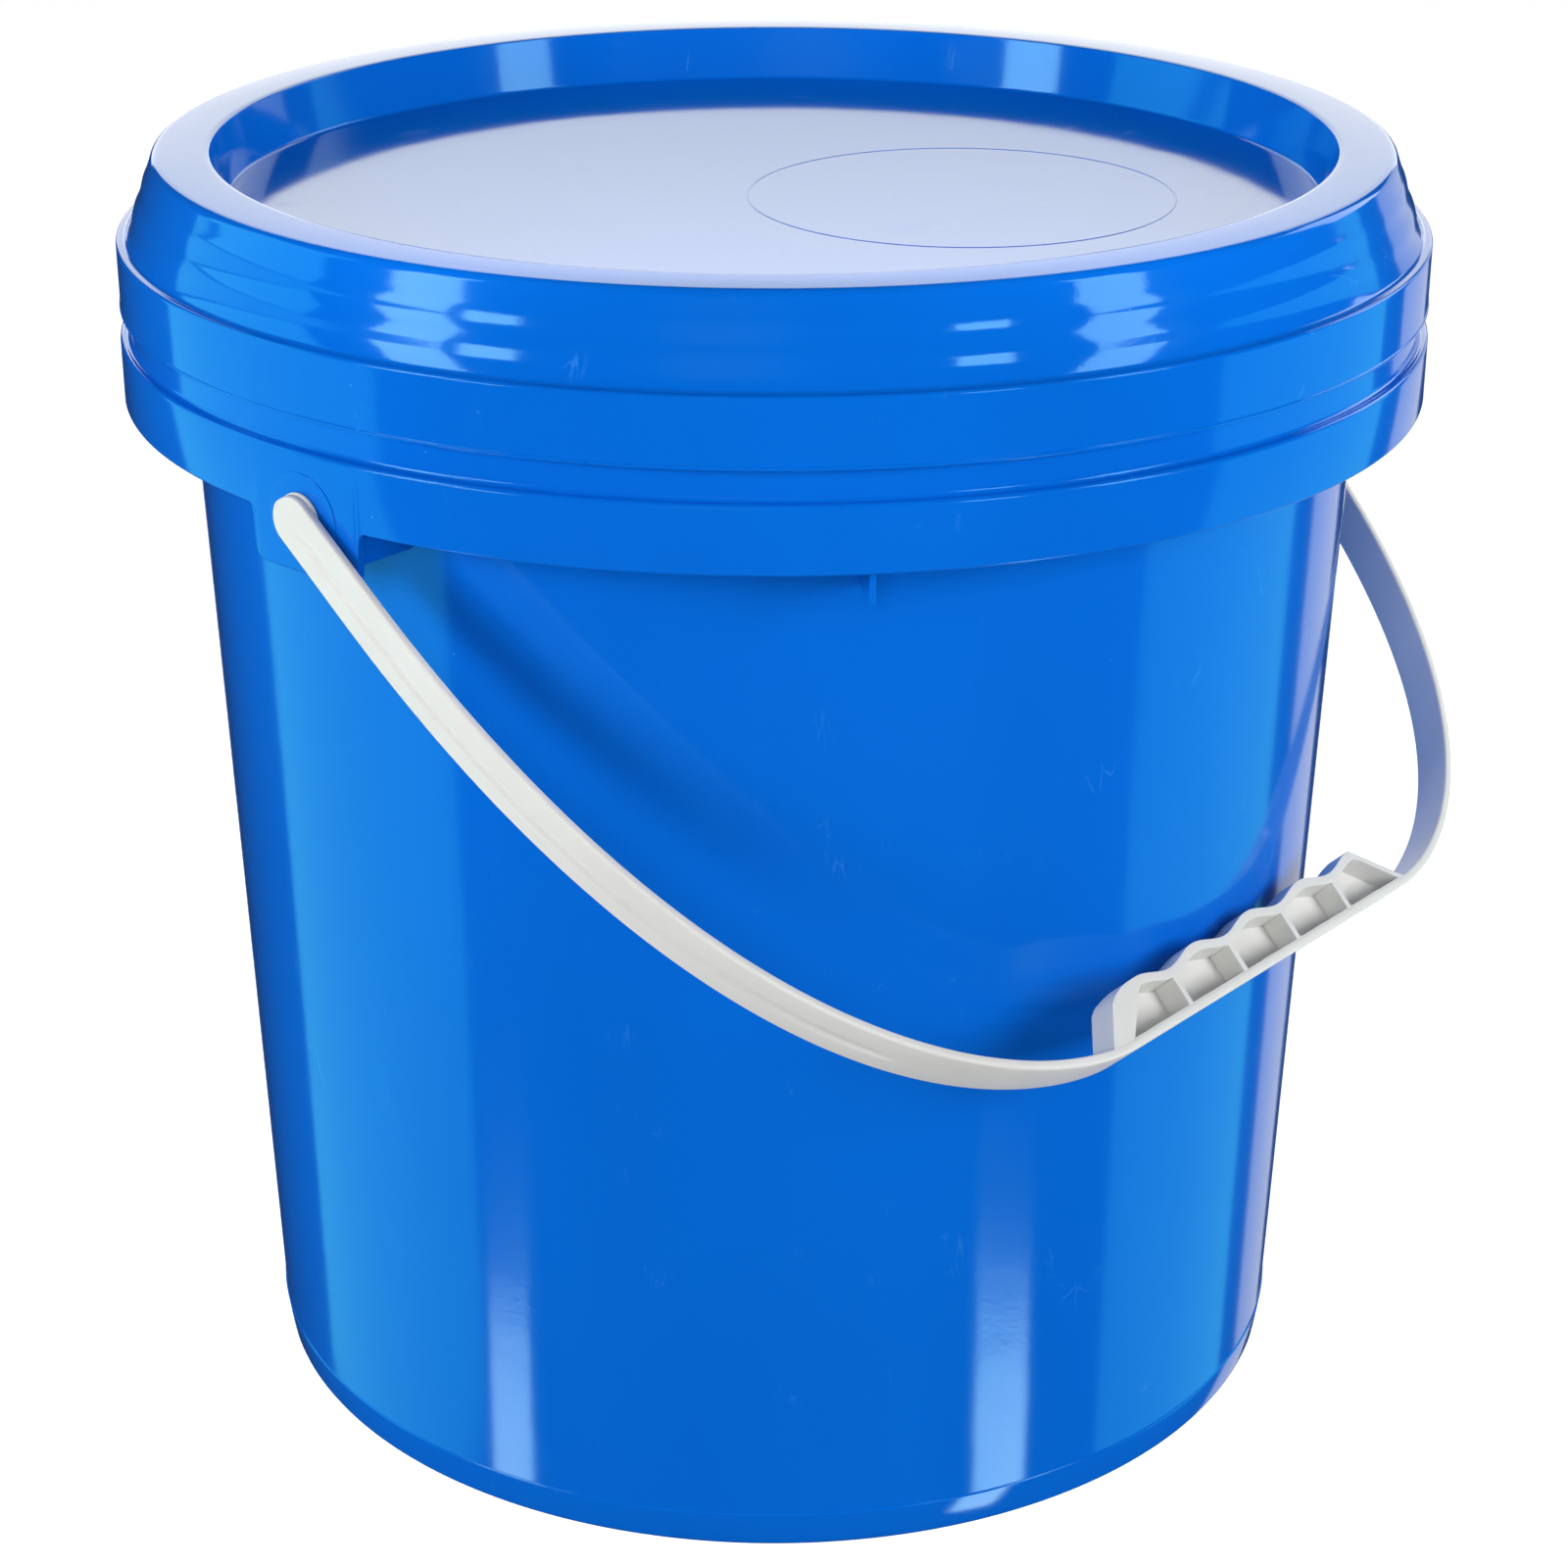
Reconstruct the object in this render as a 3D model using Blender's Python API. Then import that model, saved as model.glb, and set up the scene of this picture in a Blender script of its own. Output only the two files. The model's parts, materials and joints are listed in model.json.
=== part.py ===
"""Wash bucket: a 20 litre moulded pail with a press-on lid, a lid gasket and a swinging bail handle.

Z is up, the underside of the foot ring is at z = 0 and the bucket's axis is the Z axis.
The handle turns about an axis along X and hangs on the -Y side, where its grip rests on the wall.
"""
import math

import bmesh
import bpy
from mathutils import Matrix, Vector

# Facets of the turned pieces and of the small round ones.
TURN_STEPS = 72
PIN_STEPS = 32
GAP = 0.0003
AXIS_TOLERANCE = 1e-7

# Bucket: a straight tapered wall on a foot ring, under a deep open flange.
WALL = 0.0022
BASE_RADIUS = 0.1407
WALL_SLOPE = 0.0379
FOOT_RADIUS = 0.1395
FOOT_WIDTH = 0.0035
FOOT_HEIGHT = 0.0050
FLOOR = 0.0025
FOOT_BAND_Z = 0.0100
FOOT_BAND_STEP = 0.0003
COLLAR_Z = 0.2720
COLLAR_HEIGHT = 0.0165
COLLAR_RADIUS = 0.1680
NECK_RADIUS = 0.1655
NECK_TOP_Z = 0.3040
RIM_Z = 0.3280

# Ears: where the collar reaches down around each handle pivot, boxed in by side plates.
PIVOT_Z = 0.2724
EAR_DROP = 0.0130
EAR_ANGLE = math.radians(6.0)
EAR_PLATE = 0.0018
HOLE_RADIUS = 0.0048

# Stiffening ribs under the collar.
RIB_ANGLES = [math.radians(angle) for angle in (47.5, 132.5, -47.5, -132.5)]
RIB_DROP = 0.0080
RIB_WIDTH = 0.0014
RIB_RADIUS = 0.1662

# Lid: a sunk panel inside a raised ring, and a skirt that hangs over the neck.
LID_WALL = 0.0022
SKIRT_Z = 0.2960
SKIRT_RADIUS = 0.1677
SHELF_Z = 0.3126
RING_FOOT_RADIUS = 0.1650
RING_TOP_RADIUS = 0.1572
RING_TOP_Z = 0.3334
LIP_RADIUS = 0.1430
PANEL_Z = 0.3190
PANEL_RADIUS = 0.1395
PANEL_FILLET = 0.0012
LID_EDGE = 0.0010

# Gasket: a flat ring between the bucket's rim and the roof of the lid's channel.
GASKET_INNER_RADIUS = 0.1478
GASKET_OUTER_RADIUS = 0.1528

# Handle: a flat strap with a hollow ribbed grip at its middle, which sits a little to the +X side.
SWING = math.radians(50.6)
HALF_SPAN = 0.1715
REACH = 0.20375
STRAP = 0.0024
STRAP_WIDTH = 0.0120
LEG_STRAIGHT = 0.0258
LEG_PULL = 0.1500
CORNER_PULL = 0.0279
FLAT_HALF = 0.0610
MIDDLE_X = 0.0030
SIDE_STEPS = 18
TWIST = 0.13
TWIST_FULL = 0.0750
TWIST_FADE = 0.0650
BOSS_RADIUS = 0.0064
STUD_RADIUS = 0.0045
HEAD_RADIUS = 0.0072
HEAD_LENGTH = 0.0028
HEAD_GAP = 0.0007

# Grip: four finger hollows between five crests, and a pocket under each crest.
GRIP_HALF_LENGTH = 0.0628
GRIP_LEFT_END = [(-0.0548, 0.0005), (-0.0608, 0.0027)]
GRIP_LEFT_BASE = -0.0690
GRIP_HEIGHT = 0.0126
GRIP_BACK = 0.0022
FINGER_PITCH = 0.0242
FINGER_DEPTH = 0.0024
FINGER_STEPS = 8
FINGERS = 4
RIB_THICKNESS = 0.0015
POCKET_ROOF = 0.0024
POCKET_DEPTH = 0.0069


def clear_scene():
    for old in list(bpy.data.objects):
        bpy.data.objects.remove(old, do_unlink=True)


def plastic(name, colour, roughness):
    """A plain Principled material of one colour."""
    material = bpy.data.materials.new(name)
    material.use_nodes = True
    shader = material.node_tree.nodes["Principled BSDF"]
    shader.inputs["Base Color"].default_value = (*colour, 1.0)
    shader.inputs["Roughness"].default_value = roughness
    shader.inputs["Metallic"].default_value = 0.0
    material.diffuse_color = (*colour, 1.0)
    return material


def new_object(name, bm, material=None):
    """Turns a bmesh into a linked object, with its faces pointing out."""
    bmesh.ops.remove_doubles(bm, verts=bm.verts, dist=1e-6)
    bmesh.ops.recalc_face_normals(bm, faces=bm.faces)
    mesh = bpy.data.meshes.new(name)
    bm.to_mesh(mesh)
    bm.free()
    item = bpy.data.objects.new(name, mesh)
    bpy.context.scene.collection.objects.link(item)
    if material:
        mesh.materials.append(material)
    return item


def combine(target, tool, operation):
    """Adds a Boolean modifier, and leaves the tool in the scene as a guide."""
    tool.hide_render = True
    tool.display_type = "WIRE"
    modifier = target.modifiers.new(tool.name, "BOOLEAN")
    modifier.operation = operation
    modifier.solver = "EXACT"
    modifier.object = tool


def smooth(item, angle=35):
    item.data.shade_smooth()
    item.data.set_sharp_from_angle(angle=math.radians(angle))


def lathe(profile_at, angles):
    """Turns a closed (radius, z) outline about Z. The outline may change with the angle."""
    bm = bmesh.new()
    rings = []
    for angle in angles:
        ring = []
        for radius, z in profile_at(angle):
            ring.append(bm.verts.new((radius * math.cos(angle), radius * math.sin(angle), z)))
        rings.append(ring)
    for index, ring in enumerate(rings):
        following = rings[(index + 1) % len(rings)]
        count = len(ring)
        for k in range(count):
            corners = [ring[k], ring[(k + 1) % count], following[(k + 1) % count], following[k]]
            if any(corner.co.xy.length > AXIS_TOLERANCE for corner in corners):
                bm.faces.new(corners)
    bmesh.ops.remove_doubles(bm, verts=bm.verts, dist=1e-6)
    return bm


def even_angles():
    return [2 * math.pi * k / TURN_STEPS for k in range(TURN_STEPS)]


def prism(outline, place, low, high):
    """Extrudes a closed outline. place(u, v, w) gives the point, and w runs from low to high."""
    bm = bmesh.new()
    ends = [[bm.verts.new(place(u, v, w)) for u, v in outline] for w in (low, high)]
    bm.faces.new(ends[0])
    bm.faces.new(ends[1])
    count = len(outline)
    for k in range(count):
        following = (k + 1) % count
        bm.faces.new([ends[0][k], ends[0][following], ends[1][following], ends[1][k]])
    return bm


def cylinder_along_x(bm, radius, start, end, centre):
    """Adds a round bar between x = start and x = end, through the given (y, z) centre."""
    turn = Matrix.Rotation(math.pi / 2, 4, "Y")
    place = Matrix.Translation(((start + end) / 2, centre[0], centre[1])) @ turn
    length = abs(end - start)
    bmesh.ops.create_cone(bm, cap_ends=True, segments=PIN_STEPS, radius1=radius,
                          radius2=radius, depth=length, matrix=place)


# Bucket

def wall_radius(z):
    return BASE_RADIUS + WALL_SLOPE * z


def ear_share(angle):
    """1 where the collar reaches down around a pivot, and 0 elsewhere."""
    from_axis = abs(math.remainder(angle, math.pi))
    return 1.0 if from_axis <= EAR_ANGLE + 1e-6 else 0.0


def bucket_profile(angle):
    collar_top = COLLAR_Z + COLLAR_HEIGHT
    skirt_bottom = COLLAR_Z - EAR_DROP * ear_share(angle)
    collar_inner = COLLAR_RADIUS - WALL
    neck_inner = NECK_RADIUS - WALL
    under_top = NECK_TOP_Z - WALL
    floor_top = FOOT_HEIGHT + FLOOR
    inner_corner = 0.0040
    edge = 0.0008
    return [
        (FOOT_RADIUS, 0.0),
        (BASE_RADIUS, 0.0015),
        (wall_radius(FOOT_BAND_Z) + FOOT_BAND_STEP, FOOT_BAND_Z),
        (wall_radius(FOOT_BAND_Z), FOOT_BAND_Z + FOOT_BAND_STEP),
        (wall_radius(under_top), under_top),
        (neck_inner, under_top),
        (neck_inner, collar_top - WALL),
        (collar_inner, collar_top - WALL),
        (collar_inner, skirt_bottom),
        (COLLAR_RADIUS, skirt_bottom),
        (COLLAR_RADIUS, collar_top - edge),
        (COLLAR_RADIUS - edge, collar_top),
        (NECK_RADIUS, collar_top),
        (NECK_RADIUS, NECK_TOP_Z - edge),
        (NECK_RADIUS - edge, NECK_TOP_Z),
        (wall_radius(NECK_TOP_Z), NECK_TOP_Z),
        (wall_radius(RIM_Z) - edge, RIM_Z - edge),
        (wall_radius(RIM_Z) - 2 * edge, RIM_Z),
        (wall_radius(RIM_Z) - WALL, RIM_Z),
        (wall_radius(floor_top) - WALL, floor_top + inner_corner),
        (wall_radius(floor_top) - WALL - inner_corner, floor_top),
        (0.0, floor_top),
        (0.0, FOOT_HEIGHT),
        (FOOT_RADIUS - FOOT_WIDTH, FOOT_HEIGHT),
        (FOOT_RADIUS - FOOT_WIDTH, 0.0),
    ]


def bucket_angles():
    """The even steps, with a pair of close ones at each side of both ears."""
    step = math.radians(0.1)
    angles = set(even_angles())
    for side in (0.0, math.pi):
        for sign in (-1, 1):
            for extra in (EAR_ANGLE, EAR_ANGLE + step):
                angles.add((side + sign * extra) % (2 * math.pi))
    return sorted(angles)


def radial_plate(name, angle, offset, width, bottom_z, outer_radius):
    """A plate standing in a plane through the axis, sunk into the wall and the flange."""
    sink = 0.0010
    top = NECK_TOP_Z - sink
    collar_top = COLLAR_Z + COLLAR_HEIGHT
    collar_shelf = collar_top - WALL + sink
    outline = [
        (wall_radius(bottom_z) - sink, bottom_z),
        (outer_radius, bottom_z),
        (outer_radius, collar_shelf),
        (NECK_RADIUS - WALL + sink, collar_shelf),
        (NECK_RADIUS - WALL + sink, top),
        (wall_radius(top) - sink, top),
    ]
    outward = Vector((math.cos(angle), math.sin(angle), 0.0))
    sideways = Vector((-math.sin(angle), math.cos(angle), 0.0))

    def place(u, v, w):
        return outward * u + sideways * (w + offset) + Vector((0.0, 0.0, v))

    return new_object(name, prism(outline, place, -width / 2, width / 2))


def make_bucket(material):
    bucket = new_object("bucket", lathe(bucket_profile, bucket_angles()), material)
    for index, angle in enumerate(RIB_ANGLES):
        bottom = COLLAR_Z - RIB_DROP
        rib = radial_plate(f"rib_guide_{index}", angle, 0.0, RIB_WIDTH, bottom, RIB_RADIUS)
        combine(bucket, rib, "UNION")
    half_width = COLLAR_RADIUS * math.sin(EAR_ANGLE) - EAR_PLATE
    sunk = COLLAR_RADIUS - WALL + 0.0002
    for side_index, side in enumerate((0.0, math.pi)):
        for sign in (-1, 1):
            name = f"ear_plate_guide_{side_index}_{'front' if sign < 0 else 'back'}"
            bottom = COLLAR_Z - RIB_DROP
            plate = radial_plate(name, side, sign * half_width, EAR_PLATE, bottom, sunk)
            combine(bucket, plate, "UNION")
    for side_index, sign in enumerate((1, -1)):
        bm = bmesh.new()
        ends = sorted((sign * (COLLAR_RADIUS - 3 * WALL), sign * (COLLAR_RADIUS + WALL)))
        cylinder_along_x(bm, HOLE_RADIUS, ends[0], ends[1], (0.0, PIVOT_Z))
        combine(bucket, new_object(f"pivot_hole_guide_{side_index}", bm), "DIFFERENCE")
    smooth(bucket)
    return bucket


# Lid and gasket

def lid_profile(_angle):
    skirt_inner = NECK_RADIUS + GAP
    channel_roof = RING_TOP_Z - LID_WALL
    shelf_under = SHELF_Z - LID_WALL
    inner_wall = 0.0021
    return [
        (0.0, PANEL_Z),
        (PANEL_RADIUS, PANEL_Z),
        (PANEL_RADIUS + PANEL_FILLET, PANEL_Z + PANEL_FILLET),
        (LIP_RADIUS, RING_TOP_Z),
        (RING_TOP_RADIUS - 0.0012, RING_TOP_Z),
        (RING_TOP_RADIUS + 0.0004, RING_TOP_Z - 0.0012),
        (RING_FOOT_RADIUS, SHELF_Z + 0.0010),
        (RING_FOOT_RADIUS + 0.0008, SHELF_Z),
        (SKIRT_RADIUS - LID_EDGE, SHELF_Z),
        (SKIRT_RADIUS, SHELF_Z - LID_EDGE),
        (SKIRT_RADIUS, SKIRT_Z),
        (skirt_inner, SKIRT_Z),
        (skirt_inner, shelf_under),
        (RING_FOOT_RADIUS - LID_WALL, shelf_under + 0.0010),
        (RING_TOP_RADIUS - LID_WALL, channel_roof),
        (LIP_RADIUS + inner_wall, channel_roof),
        (PANEL_RADIUS + PANEL_FILLET + inner_wall, PANEL_Z),
        (PANEL_RADIUS + PANEL_FILLET, PANEL_Z - LID_WALL),
        (0.0, PANEL_Z - LID_WALL),
    ]


def make_lid(material):
    lid = new_object("lid", lathe(lid_profile, even_angles()), material)
    smooth(lid)
    return lid


def gasket_profile(_angle):
    bottom = RIM_Z + GAP
    top = RING_TOP_Z - LID_WALL - GAP
    return [
        (GASKET_INNER_RADIUS, bottom),
        (GASKET_OUTER_RADIUS, bottom),
        (GASKET_OUTER_RADIUS, top),
        (GASKET_INNER_RADIUS, top),
    ]


def make_gasket(material):
    gasket = new_object("lid_gasket", lathe(gasket_profile, even_angles()), material)
    smooth(gasket)
    return gasket


# Handle

def bail_side():
    """Half of the strap's outer face as (x, reach), from a pivot to the flat middle, as if on +X."""
    start = Vector((HALF_SPAN, LEG_STRAIGHT))
    end = Vector((FLAT_HALF, REACH))
    pulls = (start, start + Vector((0.0, LEG_PULL)), end + Vector((CORNER_PULL, 0.0)), end)
    points = [Vector((HALF_SPAN, 0.0))]
    for k in range(SIDE_STEPS + 1):
        t = k / SIDE_STEPS
        shares = ((1 - t) ** 3, 3 * t * (1 - t) ** 2, 3 * t * t * (1 - t), t ** 3)
        points.append(sum((share * pull for share, pull in zip(shares, pulls)), Vector((0.0, 0.0))))
    return points


def to_side(point, side):
    """Moves a point of bail_side to its own side. The middle of the bail sits at MIDDLE_X."""
    across = (HALF_SPAN - point.x) / (HALF_SPAN - FLAT_HALF)
    return Vector((side * point.x + MIDDLE_X * across, point.y))


def strap_sections():
    """Sections along the strap, from +X to -X: (outer point, inward direction, half width)."""
    half = STRAP_WIDTH / 2
    outline = [(point, half) for point in bail_side()]
    round_end = []
    for degrees in (75, 60, 45, 30, 15):
        angle = math.radians(degrees)
        round_end.append((Vector((HALF_SPAN, -half * math.sin(angle))), half * math.cos(angle)))
    outline = round_end + outline
    whole = [(to_side(point, 1), width) for point, width in outline]
    whole += [(to_side(point, -1), width) for point, width in reversed(outline)]
    sections = []
    for k, (point, width) in enumerate(whole):
        along = (whole[min(k + 1, len(whole) - 1)][0] - whole[max(k - 1, 0)][0]).normalized()
        sections.append((point, Vector((-along.y, along.x)), width))
    return sections


def twist_at(x):
    """The strap's section turns about its outer middle line towards the grip."""
    share = (abs(x - MIDDLE_X) - TWIST_FULL) / TWIST_FADE
    share = min(max(1 - share, 0.0), 1.0)
    return TWIST * share * share * (3 - 2 * share)


def on_bail(x, reach, offset, depth=0.0):
    """A point of the handle at its own angle.

    reach is the distance from the pivot axis to the strap's outer face, offset is square to the
    plane of the bail, and depth goes from the outer face towards the pivot axis.
    """
    twist = twist_at(x)
    far = reach + offset * math.sin(twist) - depth * math.cos(twist)
    side = offset * math.cos(twist) + depth * math.sin(twist)
    y = -far * math.sin(SWING) - side * math.cos(SWING)
    z = -far * math.cos(SWING) + side * math.sin(SWING)
    return Vector((x, y, z))


def strap_mesh():
    bm = bmesh.new()
    rings = []
    for point, inward, half in strap_sections():
        ring = []
        for offset, thick in ((half, 0.0), (-half, 0.0), (-half, STRAP), (half, STRAP)):
            place = on_bail(point.x, point.y, offset, -inward.y * thick)
            place.x += inward.x * thick
            ring.append(bm.verts.new(place))
        rings.append(ring)
    for first, second in zip(rings, rings[1:]):
        for k in range(4):
            following = (k + 1) % 4
            bm.faces.new([first[k], first[following], second[following], second[k]])
    bm.faces.new(rings[0])
    bm.faces.new(rings[-1])
    return bm


def crest_drop(x):
    """How far the grip's edge lies below its crests, at x from the grip's middle."""
    return FINGER_DEPTH * (1 - math.cos(2 * math.pi * x / FINGER_PITCH)) / 2


def grip_place(u, v, w):
    """u runs along the grip from its middle, v is the depth and w the offset."""
    return on_bail(MIDDLE_X + u, REACH, w, v)


def grip_block():
    """The solid grip, before its pockets."""
    crest = STRAP + GRIP_HEIGHT
    base = STRAP / 2
    top_half = FINGERS / 2 * FINGER_PITCH
    outline = [(GRIP_HALF_LENGTH, base), (GRIP_HALF_LENGTH, STRAP)]
    count = FINGERS * FINGER_STEPS
    for k in range(count + 1):
        x = top_half - k * FINGER_PITCH / FINGER_STEPS
        outline.append((x, crest - crest_drop(x)))
    outline += [(x, crest - drop) for x, drop in GRIP_LEFT_END]
    outline += [(GRIP_LEFT_BASE, STRAP), (GRIP_LEFT_BASE, base)]
    front = STRAP_WIDTH / 2 - GAP
    return new_object("grip_guide", prism(outline, grip_place, -GRIP_BACK, front))


def wall_cutter():
    """Everything behind the bucket's wall, with a gap, so that the grip rests on the wall."""
    low, high, far = -0.1500, -0.0900, -0.1200
    outline = []
    for z in (low, high):
        outline.append((-wall_radius(PIVOT_Z + z) - GAP, z))
    outline += [(far, high), (far, low)]

    def place(u, v, w):
        return Vector((w, u, v))

    return new_object("wall_guide", prism(outline, place, -2 * GRIP_HALF_LENGTH, 2 * GRIP_HALF_LENGTH))


def pocket_cutter(index):
    """The pocket under one crest, open on the front of the grip."""
    middle = (index - FINGERS / 2) * FINGER_PITCH
    half = (FINGER_PITCH - RIB_THICKNESS) / 2
    roof = STRAP + GRIP_HEIGHT - POCKET_ROOF
    top_half = FINGERS / 2 * FINGER_PITCH
    base_half = GRIP_HALF_LENGTH - POCKET_ROOF
    outline = []
    for side in (-1, 1):
        outer = side * middle > top_half - FINGER_PITCH / 2
        edge = middle + side * half
        steps = [middle + (edge - middle) * k / FINGER_STEPS for k in range(FINGER_STEPS + 1)]
        half_outline = [(x, roof - crest_drop(x)) for x in steps]
        if outer:
            half_outline = [(middle, roof)]
            edge = side * base_half
        half_outline.append((edge, STRAP))
        outline = half_outline[::-1] + outline if side < 0 else outline + half_outline[1:]
    deep = STRAP_WIDTH / 2 - POCKET_DEPTH
    mesh = prism(outline, grip_place, deep, STRAP_WIDTH)
    return new_object(f"pocket_guide_{index}", mesh)


def stud_mesh(side):
    """Boss, stud and snap head of one pivot, as round steps on the pivot axis."""
    inner_face = HALF_SPAN - STRAP
    ear_outer = COLLAR_RADIUS
    ear_inner = COLLAR_RADIUS - WALL
    sink = 0.0010
    steps = [
        (inner_face + sink, 0.0),
        (inner_face + sink, BOSS_RADIUS - STUD_RADIUS / 3),
        (inner_face, BOSS_RADIUS),
        (ear_outer + GAP, BOSS_RADIUS),
        (ear_outer + GAP, STUD_RADIUS),
        (ear_inner - HEAD_GAP, STUD_RADIUS),
        (ear_inner - HEAD_GAP, HEAD_RADIUS),
        (ear_inner - HEAD_GAP - HEAD_LENGTH, HEAD_RADIUS - 0.0010),
        (ear_inner - HEAD_GAP - HEAD_LENGTH, 0.0),
    ]
    bm = bmesh.new()
    rings = []
    for x, radius in steps:
        ring = []
        for k in range(PIN_STEPS):
            angle = 2 * math.pi * k / PIN_STEPS
            ring.append(bm.verts.new((side * x, radius * math.cos(angle), radius * math.sin(angle))))
        rings.append(ring)
    for first, second in zip(rings, rings[1:]):
        for k in range(PIN_STEPS):
            following = (k + 1) % PIN_STEPS
            bm.faces.new([first[k], first[following], second[following], second[k]])
    bmesh.ops.remove_doubles(bm, verts=bm.verts, dist=1e-6)
    return bm


def make_handle(material, pivot):
    handle = new_object("handle", strap_mesh(), material)
    block = grip_block()
    wall = wall_cutter()
    combine(block, wall, "DIFFERENCE")
    combine(handle, block, "UNION")
    tools = [block, wall]
    for index in range(FINGERS + 1):
        pocket = pocket_cutter(index)
        combine(handle, pocket, "DIFFERENCE")
        tools.append(pocket)
    for index, side in enumerate((1, -1)):
        stud = new_object(f"stud_guide_{index}", stud_mesh(side))
        combine(handle, stud, "UNION")
        tools.append(stud)
    for item in [handle] + tools:
        item.parent = pivot
    smooth(handle)
    return handle


def make_pivot():
    """An empty on the hinge axis, which carries the handle."""
    pivot = bpy.data.objects.new("handle_pivot", None)
    pivot.location = (0.0, 0.0, PIVOT_Z)
    bpy.context.scene.collection.objects.link(pivot)
    return pivot


def main():
    clear_scene()
    blue = plastic("blue_polypropylene", (0.004, 0.150, 0.720), 0.22)
    white = plastic("white_polyethylene", (0.830, 0.830, 0.800), 0.35)
    grey = plastic("grey_foam_rubber", (0.180, 0.180, 0.190), 0.80)
    make_bucket(blue)
    make_lid(blue)
    make_gasket(grey)
    make_handle(white, make_pivot())


main()
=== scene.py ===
import json
import math

import bmesh
import bpy
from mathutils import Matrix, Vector


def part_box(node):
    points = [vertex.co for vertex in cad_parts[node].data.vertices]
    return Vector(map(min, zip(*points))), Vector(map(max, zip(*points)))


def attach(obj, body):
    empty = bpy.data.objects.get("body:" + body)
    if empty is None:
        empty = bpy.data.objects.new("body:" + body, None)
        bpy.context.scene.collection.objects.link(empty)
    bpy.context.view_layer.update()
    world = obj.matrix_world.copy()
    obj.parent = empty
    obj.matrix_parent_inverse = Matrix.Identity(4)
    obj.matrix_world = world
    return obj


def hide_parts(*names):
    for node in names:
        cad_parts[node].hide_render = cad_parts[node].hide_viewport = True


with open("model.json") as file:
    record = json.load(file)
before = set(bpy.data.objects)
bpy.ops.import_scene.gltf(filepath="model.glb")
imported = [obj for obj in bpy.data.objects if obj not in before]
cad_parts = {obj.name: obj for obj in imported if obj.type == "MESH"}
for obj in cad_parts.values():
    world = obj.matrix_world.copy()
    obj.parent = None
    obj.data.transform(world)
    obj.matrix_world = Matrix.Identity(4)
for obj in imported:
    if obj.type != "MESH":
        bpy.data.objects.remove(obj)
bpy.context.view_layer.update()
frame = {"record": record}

# Sizes that the frame gives.
BUCKET_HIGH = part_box("bucket")[1]
LID_LOW, LID_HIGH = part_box("lid")
GASKET_LOW, GASKET_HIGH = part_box("lid_gasket")
HANDLE_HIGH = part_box("handle")[1]
PIVOT_Z = frame["record"]["behaviour"]["joints"][0]["pos_m"][2]
COLLAR_RADIUS = BUCKET_HIGH[0]
RIM_Z = BUCKET_HIGH[2]
SKIRT_RADIUS = LID_HIGH[0]
SKIRT_Z = LID_LOW[2]
RING_TOP_Z = LID_HIGH[2]
HALF_SPAN = HANDLE_HIGH[0]

# Bucket. The wall's radius grows with the height by WALL_SLOPE.
WALL = 0.0022
BASE_RADIUS = 0.1407
WALL_SLOPE = 0.0379
FOOT_RADIUS = 0.1395
FOOT_WIDTH = 0.0035
FOOT_HEIGHT = 0.0050
FLOOR = 0.0025
FOOT_BAND_Z = 0.0100
FOOT_BAND_STEP = 0.0003
COLLAR_Z = PIVOT_Z - 0.0004
COLLAR_TOP_Z = COLLAR_Z + 0.0165
NECK_RADIUS = COLLAR_RADIUS - 0.0025
NECK_TOP_Z = COLLAR_Z + 0.0320
EAR_DROP = 0.0130
EAR_REACH = 0.0300
EAR_TOP_HALF = 0.0178
EAR_BOTTOM_HALF = 0.0168
EAR_CORNER = 0.0028
EAR_PLATE = 0.0018
PAD_RADIUS = 0.0110
PAD_HEIGHT = 0.00022
PAD_SINK = 0.0006
HOLE_RADIUS = 0.0048
RIB_DEGREES = (47.5, 132.5, -47.5, -132.5)
RIB_DROP = 0.0080
RIB_WIDTH = 0.0014
RIB_RADIUS = 0.1662
PLATE_SINK = 0.0008
PLATE_EDGE = 0.00028

# Lid.
LID_WALL = 0.0022
LID_INNER_WALL = 0.0021
FLASH_HEIGHT = 0.0007
SHELF_Z = SKIRT_Z + 0.0166
RING_FOOT_RADIUS = 0.1650
RING_TOP_RADIUS = 0.1572
RING_WAVES = 3
RING_WAVE_DEPTH = 0.00016
LIP_RADIUS = 0.1430
PANEL_Z = RING_TOP_Z - 0.0144
PANEL_RADIUS = 0.1395
PANEL_EDGE = PANEL_RADIUS + 0.0008
MARK_CENTRE = (0.0245, -0.0417)
MARK_RADIUS = 0.0545
MARK_HALF_WIDTH = 0.00022
MARK_HEIGHT = 0.00010
MARK_SINK = 0.0002
GASKET_INNER_RADIUS = 0.1478

# Handle. The lengths below are in the plane of the bail, which hangs at SWING from straight down.
SWING = math.radians(50.6)
REACH = 0.20375
STRAP = 0.0024
STRAP_WIDTH = 0.0120
GROOVE_DEPTH = 0.00075
LEG_STRAIGHT = 0.0258
LEG_PULL = 0.1500
CORNER_PULL = 0.0279
FLAT_HALF = 0.0610
MIDDLE_X = 0.0030
TWIST = 0.13
TWIST_FULL = 0.0750
TWIST_FADE = 0.0650
BOSS_RADIUS = 0.0064
STUD_RADIUS = 0.0045
HEAD_RADIUS = 0.0072
HEAD_LENGTH = 0.0028
HEAD_GAP = 0.0007
GRIP_HALF_LENGTH = 0.0628
GRIP_LEFT_END = ((-0.0524, 0.0001), (-0.0556, 0.0006), (-0.0584, 0.0015), (-0.0608, 0.0029))
GRIP_LEFT_BASE = -0.0690
GRIP_HEIGHT = 0.0126
GRIP_BACK = 0.0022
GRIP_EDGE = 0.0005
FINGERS = 4
FINGER_PITCH = 0.0242
FINGER_DEPTH = 0.0024
RIB_THICKNESS = 0.0015
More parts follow.
